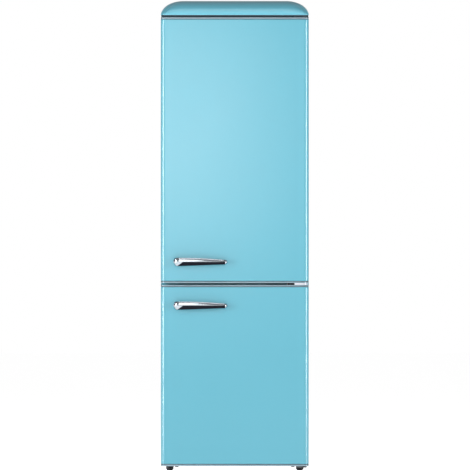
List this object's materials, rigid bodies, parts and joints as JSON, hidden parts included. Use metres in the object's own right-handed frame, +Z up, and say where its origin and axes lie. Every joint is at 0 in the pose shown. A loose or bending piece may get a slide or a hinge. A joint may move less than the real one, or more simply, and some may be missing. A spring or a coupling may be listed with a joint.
{
  "type": "refrigerator",
  "caption": "Tall retro refrigerator with a freezer compartment below: hinged insulated doors, bar handles, domed top cover, shelves, sliding drawers and a rear condenser.",
  "frame": {"origin": "middle of the bounding box's footprint, on the floor", "axes": "+Z up, +X to the right as seen from the doors, doors face -Y"},
  "size_m": [0.6, 0.713, 1.915],
  "materials": {
    "paint": "glossy sky-blue enamel",
    "frame_paint": "satin enamel on the front flange",
    "galvanised": "galvanised sheet",
    "foam": "polyurethane foam",
    "liner": "thermoformed white liner",
    "cap_paint": "sky-blue gloss moulding",
    "black_plastic": "moulded black plastic",
    "black_enamel": "satin black enamel",
    "rubber": "matte rubber",
    "copper": "drawn copper tube",
    "white_plastic": "white moulding",
    "lens": "frosted lens",
    "glass": "toughened glass",
    "clear_plastic": "clear tinted moulding",
    "steel": "zinc-plated steel",
    "chrome": "polished chrome plate",
    "plated_plastic": "chrome-plated plastic end cap",
    "gloss_black": "glossy black inlay",
    "seal": "soft grey magnetic seal",
    "acetal": "white acetal bush"
  },
  "bodies": {
    "cabinet": {"outer_shell": "paint", "front_frame": "frame_paint", "rear_panel": "galvanised", "base_plate": "galvanised", "cabinet_foam": "foam", "fridge_liner": "liner", "freezer_liner": "liner", "top_cap": "cap_paint", "cap_carrier": "black_plastic", "compressor": "black_enamel", "compressor_grommets": "rubber", "relay_cover": "black_plastic", "refrigerant_pipes": "copper", "condenser_coil": "black_enamel", "condenser_grid": "black_enamel", "condenser_brackets": "black_plastic", "drip_tray": "white_plastic", "control_housing": "white_plastic", "lamp_lens": "lens", "glass_shelves": "glass", "shelf_trims": "white_plastic", "freezer_shelves": "glass", "hinge_top": "steel", "hinge_middle": "chrome", "hinge_bottom": "steel", "hinge_cover": "black_plastic", "hinge_screws": "steel", "roller_brackets": "steel", "roller_axles": "steel", "cord_gland": "rubber"},
    "upper_door": {"upper_door_skin": "paint", "upper_door_foam": "foam", "upper_door_rim_foam": "foam", "upper_door_liner": "liner", "upper_door_trims": "plated_plastic", "upper_door_gasket": "seal", "upper_door_bushes": "acetal", "upper_handle_bar": "chrome", "upper_handle_inlay": "gloss_black", "bottle_bin": "clear_plastic", "middle_bin": "clear_plastic", "dairy_bin": "clear_plastic"},
    "lower_door": {"lower_door_skin": "paint", "lower_door_foam": "foam", "lower_door_rim_foam": "foam", "lower_door_liner": "liner", "lower_door_trims": "plated_plastic", "lower_door_gasket": "seal", "lower_door_bushes": "acetal", "lower_handle_bar": "chrome", "lower_handle_inlay": "gloss_black"},
    "crisper": {"crisper_drawer": "clear_plastic"},
    "drawer_bottom": {"freezer_drawer_1": "clear_plastic"},
    "drawer_middle": {"freezer_drawer_2": "clear_plastic"},
    "drawer_top": {"freezer_drawer_3": "clear_plastic"},
    "dial": {"thermostat_dial": "white_plastic"},
    "plunger": {"light_plunger": "white_plastic"},
    "lid": {"dairy_lid": "clear_plastic"},
    "retainer": {"bottle_retainer": "white_plastic"},
    "foot_l": {"foot_left": "black_plastic"},
    "foot_r": {"foot_right": "black_plastic"},
    "roller_l": {"roller_left": "black_plastic"},
    "roller_r": {"roller_right": "black_plastic"}
  },
  "joints": [
    {"name": "upper_door_hinge", "type": "hinge", "parent": "cabinet", "child": "upper_door", "pos_m": [0.28, -0.2845, 1.303], "axis": [0, 0, 1], "range_deg": [0, 135]},
    {"name": "lower_door_hinge", "type": "hinge", "parent": "cabinet", "child": "lower_door", "pos_m": [0.28, -0.2845, 0.3895], "axis": [0, 0, 1], "range_deg": [0, 135]},
    {"name": "crisper_slide", "type": "slide", "parent": "cabinet", "child": "crisper", "axis": [0, -1, 0], "range_m": [0, 0.23]},
    {"name": "drawer_bottom_slide", "type": "slide", "parent": "cabinet", "child": "drawer_bottom", "axis": [0, -1, 0], "range_m": [0, 0.176]},
    {"name": "drawer_middle_slide", "type": "slide", "parent": "cabinet", "child": "drawer_middle", "axis": [0, -1, 0], "range_m": [0, 0.176]},
    {"name": "drawer_top_slide", "type": "slide", "parent": "cabinet", "child": "drawer_top", "axis": [0, -1, 0], "range_m": [0, 0.176]},
    {"name": "plunger_slide", "type": "slide", "parent": "cabinet", "child": "plunger", "axis": [0, -1, 0], "range_m": [0, 0.00501]},
    {"name": "dial_turn", "type": "hinge", "parent": "cabinet", "child": "dial", "pos_m": [0.07, -0.1745, 1.765], "axis": [0, 0, 1], "range_deg": [0, 280]},
    {"name": "lid_hinge", "type": "hinge", "parent": "upper_door", "child": "lid", "pos_m": [0, -0.2502, 1.59558], "axis": [1, 0, 0], "range_deg": [0, 85]},
    {"name": "retainer_slide", "type": "slide", "parent": "upper_door", "child": "retainer", "axis": [1, 0, 0], "range_m": [-0.15, 0.15]},
    {"name": "foot_left_screw", "type": "hinge", "parent": "cabinet", "child": "foot_l", "pos_m": [-0.264, -0.2145, 0.03], "axis": [0, 0, 1], "range_deg": [-360, 360]},
    {"name": "foot_right_screw", "type": "hinge", "parent": "cabinet", "child": "foot_r", "pos_m": [0.264, -0.2145, 0.03], "axis": [0, 0, 1], "range_deg": [-360, 360]},
    {"name": "roller_left_turn", "type": "hinge", "parent": "cabinet", "child": "roller_l", "pos_m": [-0.24, 0.2855, 0.015], "axis": [1, 0, 0], "continuous": true},
    {"name": "roller_right_turn", "type": "hinge", "parent": "cabinet", "child": "roller_r", "pos_m": [0.24, 0.2855, 0.015], "axis": [1, 0, 0], "continuous": true}
  ],
  "couplings": [
    {"joint": "crisper_slide", "follows": "upper_door_hinge", "m_per_rad": 0.0974},
    {"joint": "plunger_slide", "follows": "upper_door_hinge", "m_per_rad": 0.002122},
    {"joint": "drawer_bottom_slide", "follows": "lower_door_hinge", "m_per_rad": 0.0745},
    {"joint": "drawer_middle_slide", "follows": "lower_door_hinge", "m_per_rad": 0.0745},
    {"joint": "drawer_top_slide", "follows": "lower_door_hinge", "m_per_rad": 0.0745}
  ]
}
